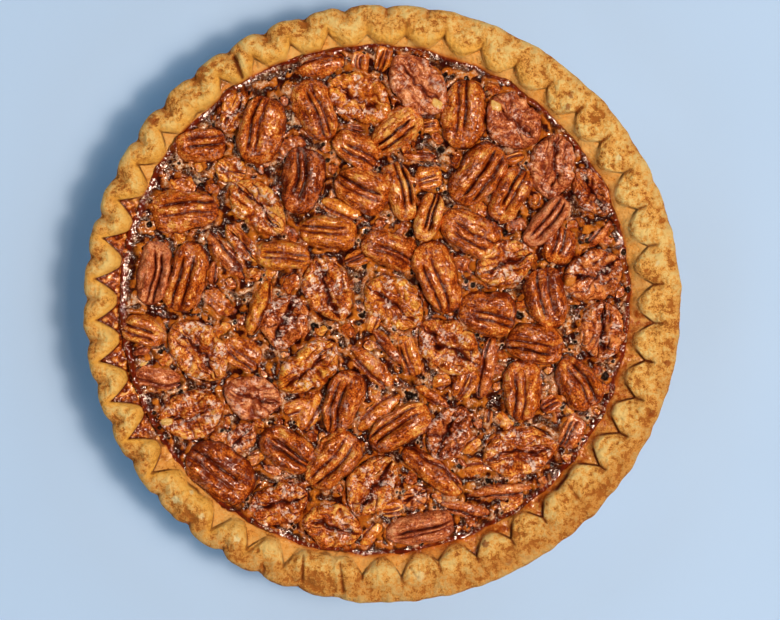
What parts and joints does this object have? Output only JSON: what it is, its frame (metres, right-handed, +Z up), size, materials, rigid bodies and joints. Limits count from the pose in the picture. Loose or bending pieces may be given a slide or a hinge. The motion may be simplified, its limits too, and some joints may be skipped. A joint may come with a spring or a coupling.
{
  "type": "pecan pie",
  "caption": "Whole baked pecan pie with a fluted crust, glossy set filling and pecan halves on top, in its thin round tin, to set on a table and serve",
  "frame": {"origin": "middle of the tin's flat base, at the bottom of the object", "axes": "+Z is up, the axis about which the tin and the crust are round; +X and +Y lie in the table's plane"},
  "size_m": [0.2547, 0.2546, 0.0439],
  "materials": {
    "tin_metal": "thin pressed metal, plain",
    "crust_baked": "golden baked pastry, dry and mottled",
    "filling_set": "dark set syrup, glossy",
    "pecan_glazed": "orange-brown nut under a syrup glaze",
    "pecan_amber": "lighter nut under a syrup glaze",
    "pecan_dark": "dark nut under thick syrup",
    "pecan_dry": "dull pinkish toasted nut"
  },
  "bodies": {
    "root": {"tin": "tin_metal", "crust": "crust_baked", "filling": "filling_set", "pecan_01": "pecan_glazed", "pecan_02": "pecan_glazed", "pecan_03": "pecan_glazed", "pecan_04": "pecan_glazed", "pecan_05": "pecan_dry", "pecan_06": "pecan_glazed", "pecan_07": "pecan_amber", "pecan_08": "pecan_amber", "pecan_09": "pecan_glazed", "pecan_10": "pecan_glazed", "pecan_11": "pecan_dark", "pecan_12": "pecan_dry", "pecan_13": "pecan_glazed", "pecan_14": "pecan_glazed", "pecan_15": "pecan_glazed", "pecan_16": "pecan_glazed", "pecan_17": "pecan_glazed", "pecan_18": "pecan_amber", "pecan_19": "pecan_glazed", "pecan_20": "pecan_glazed", "pecan_21": "pecan_glazed", "pecan_22": "pecan_glazed", "pecan_23": "pecan_glazed", "pecan_24": "pecan_dark", "pecan_25": "pecan_dry", "pecan_26": "pecan_glazed", "pecan_27": "pecan_amber", "pecan_28": "pecan_glazed", "pecan_29": "pecan_glazed", "pecan_30": "pecan_glazed", "pecan_31": "pecan_amber", "pecan_32": "pecan_glazed", "pecan_33": "pecan_glazed", "pecan_34": "pecan_glazed", "pecan_35": "pecan_glazed", "pecan_36": "pecan_glazed", "pecan_37": "pecan_glazed", "pecan_38": "pecan_dry", "pecan_39": "pecan_dark", "pecan_40": "pecan_dark", "pecan_41": "pecan_glazed", "pecan_42": "pecan_glazed", "pecan_43": "pecan_dark", "pecan_44": "pecan_glazed", "pecan_45": "pecan_dry", "pecan_46": "pecan_dry", "pecan_47": "pecan_glazed", "pecan_48": "pecan_glazed", "pecan_49": "pecan_amber", "pecan_50": "pecan_dry", "pecan_51": "pecan_glazed", "pecan_52": "pecan_glazed", "pecan_53": "pecan_glazed", "pecan_54": "pecan_glazed", "pecan_55": "pecan_glazed", "pecan_56": "pecan_glazed", "pecan_57": "pecan_dark"}
  },
  "joints": []
}
